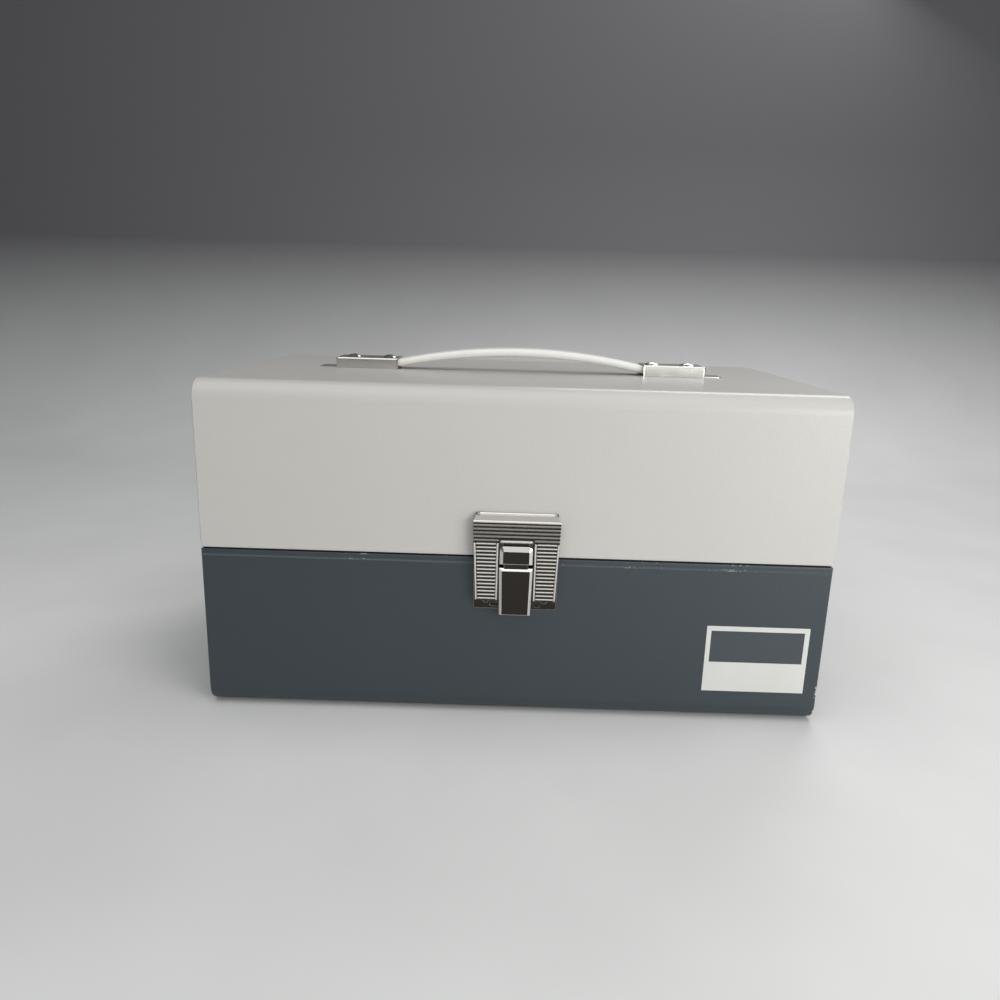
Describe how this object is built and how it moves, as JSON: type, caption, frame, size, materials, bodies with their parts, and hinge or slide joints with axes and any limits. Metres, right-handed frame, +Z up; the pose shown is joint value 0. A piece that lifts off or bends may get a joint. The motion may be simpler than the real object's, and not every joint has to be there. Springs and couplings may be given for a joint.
{
  "type": "photographic paper safe",
  "caption": "Light-trapped sheet-steel case for photographic paper, with a hinged lid, a sprung front latch with a ribbed hasp, slotted lid stays and an arched strap handle.",
  "frame": {"origin": "centre of the case's footprint, on the plane of its feet", "axes": "+Z up, -Y out of the front face that carries the latch, +X to the right as seen from the front"},
  "size_m": [0.368, 0.2293, 0.2137],
  "materials": {
    "base_enamel": "semi-gloss slate-blue baked enamel with a fine orange peel",
    "lid_enamel": "semi-gloss warm light-grey baked enamel with a fine orange peel",
    "trap_black": "matt black paint",
    "felt": "black felt",
    "nickel": "bright nickel plate with fine handling scratches",
    "steel": "zinc-plated steel",
    "strap_vinyl": "off-white moulded vinyl"
  },
  "bodies": {
    "base": {"base_wrap": "base_enamel", "base_end_left": "base_enamel", "base_end_right": "base_enamel", "light_trap_frame": "trap_black", "seal_front": "felt", "seal_rear": "felt", "seal_left": "felt", "seal_right": "felt", "base_hinge_leaf_left": "nickel", "base_hinge_leaf_right": "nickel", "hinge_pin_left": "steel", "hinge_pin_right": "steel", "base_hinge_rivets": "nickel", "stay_slot_studs": "nickel", "catch_plate": "nickel", "catch_plate_rivets": "nickel", "rocker_pin": "steel", "catch_spring": "steel"},
    "catch": {"catch_rocker": "nickel", "catch_button": "nickel", "catch_tongue": "nickel"},
    "lid": {"lid_wrap": "lid_enamel", "lid_end_left": "lid_enamel", "lid_end_right": "lid_enamel", "lid_hinge_leaf_left": "nickel", "lid_hinge_leaf_right": "nickel", "lid_hinge_rivets": "nickel", "stay_pivot_studs": "nickel", "hasp_bracket": "nickel", "hasp_bracket_rivets": "nickel", "handle_cap_left": "nickel", "handle_cap_right": "nickel", "cap_rivets": "nickel", "handle_backing_plates": "steel"},
    "hasp": {"hasp": "nickel", "hasp_pin": "steel"},
    "stay_left": {"stay_left": "steel"},
    "stay_right": {"stay_right": "steel"},
    "handle": {"handle_grip": "strap_vinyl", "strap_end_left": "strap_vinyl", "strap_end_right": "strap_vinyl", "handle_band": "steel"}
  },
  "joints": [
    {"name": "lid_hinge", "type": "hinge", "parent": "base", "child": "lid", "pos_m": [0, 0.111, 0.1003], "axis": [-1, 0, 0], "range_deg": [0, 100]},
    {"name": "hasp_swing", "type": "hinge", "parent": "lid", "child": "hasp", "pos_m": [0, -0.10915, 0.1264], "axis": [-1, 0, 0], "range_deg": [0, 115]},
    {"name": "catch_rock", "type": "hinge", "parent": "base", "child": "catch", "pos_m": [0, -0.1116, 0.0942], "axis": [-1, 0, 0], "range_deg": [0, 10], "stiffness_Nm_per_rad": 0.4, "springref_deg": -17.19, "deforming": ["catch_spring"]},
    {"name": "stay_left_turn", "type": "hinge", "parent": "lid", "child": "stay_left", "pos_m": [-0.1793, 0.05904, 0.1303], "axis": [1, 0, 0], "range_deg": [0, 50]},
    {"name": "stay_right_turn", "type": "hinge", "parent": "lid", "child": "stay_right", "pos_m": [0.1793, 0.05904, 0.1303], "axis": [1, 0, 0], "range_deg": [0, 50]},
    {"name": "handle_lift", "type": "slide", "parent": "lid", "child": "handle", "axis": [0, 0, 1], "range_m": [0, 0.014], "stiffness_N_per_m": 120, "deforming": ["strap_end_left", "strap_end_right", "handle_band"]}
  ],
  "couplings": [
    {"joint": "stay_left_turn", "follows": "lid_hinge", "ratio": 0.5},
    {"joint": "stay_right_turn", "follows": "lid_hinge", "ratio": 0.5}
  ]
}
